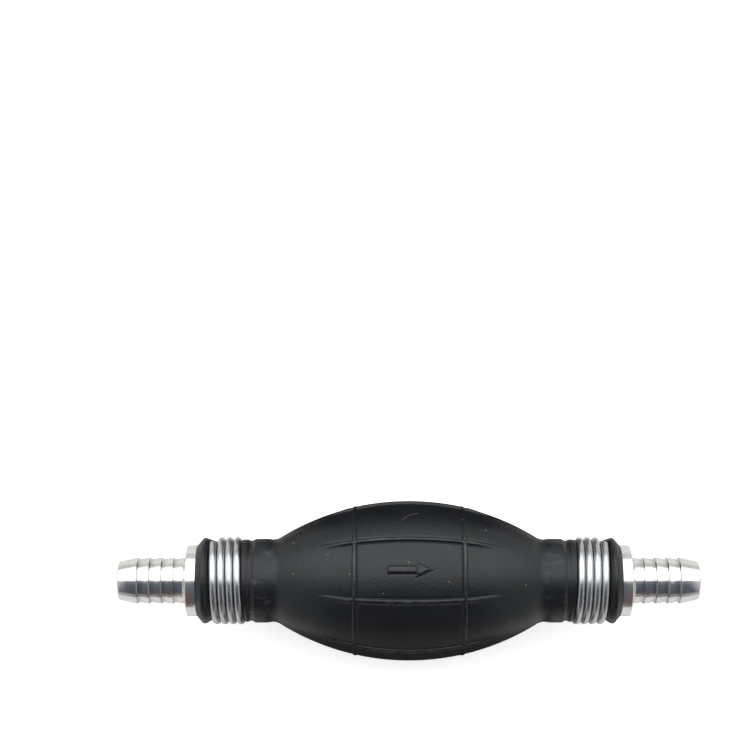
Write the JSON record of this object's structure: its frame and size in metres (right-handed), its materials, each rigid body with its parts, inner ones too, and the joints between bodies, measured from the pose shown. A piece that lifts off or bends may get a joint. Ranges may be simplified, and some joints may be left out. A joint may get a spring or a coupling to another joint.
{
  "type": "siphon bulb pump",
  "caption": "Hand-squeezed in-line siphon pump: a ribbed black rubber bulb with a flow arrow, coil-clamped onto two barbed aluminium fittings that each hold a sprung check valve.",
  "frame": {"origin": "on the pump's axis, at the middle of the bulb", "axes": "+X along the axis in the direction of flow, from the inlet to the outlet; +Z out of the panel that carries the flow arrow"},
  "size_m": [0.1646, 0.045, 0.0453],
  "materials": {
    "bulb_rubber": "satin moulded, fine grain",
    "turned_aluminium": "fine turned, bright",
    "zinc_wire": "bright zinc plated",
    "brass": "turned",
    "acetal": "natural white acetal",
    "nitrile": "smooth moulded",
    "spring_steel": "drawn stainless wire",
    "phosphated_steel": "phosphated"
  },
  "bodies": {
    "pump_body": {"bulb": "bulb_rubber", "inlet_fitting": "turned_aluminium", "inlet_coil_clamp": "zinc_wire", "inlet_valve_seat": "brass", "inlet_seat_o_ring": "nitrile", "inlet_valve_spring": "spring_steel", "inlet_poppet_guide": "acetal", "inlet_retaining_ring": "phosphated_steel", "outlet_fitting": "turned_aluminium", "outlet_coil_clamp": "zinc_wire", "outlet_valve_seat": "brass", "outlet_seat_o_ring": "nitrile", "outlet_valve_spring": "spring_steel", "outlet_poppet_guide": "acetal", "outlet_retaining_ring": "phosphated_steel"},
    "press_panel": {"bulb_press_panel": "bulb_rubber"},
    "inlet_valve": {"inlet_poppet": "acetal", "inlet_poppet_seal": "nitrile"},
    "outlet_valve": {"outlet_poppet": "acetal", "outlet_poppet_seal": "nitrile"}
  },
  "joints": [
    {"name": "bulb_squeeze", "type": "slide", "parent": "pump_body", "child": "press_panel", "axis": [0, 0, -1], "range_m": [0, 0.008], "stiffness_N_per_m": 3500},
    {"name": "inlet_poppet_lift", "type": "slide", "parent": "pump_body", "child": "inlet_valve", "axis": [1, 0, 0], "range_m": [0, 0.0025], "stiffness_N_per_m": 60, "springref_m": -0.004, "deforming": ["inlet_valve_spring"]},
    {"name": "outlet_poppet_lift", "type": "slide", "parent": "pump_body", "child": "outlet_valve", "axis": [1, 0, 0], "range_m": [0, 0.0025], "stiffness_N_per_m": 60, "springref_m": -0.004, "deforming": ["outlet_valve_spring"]}
  ]
}
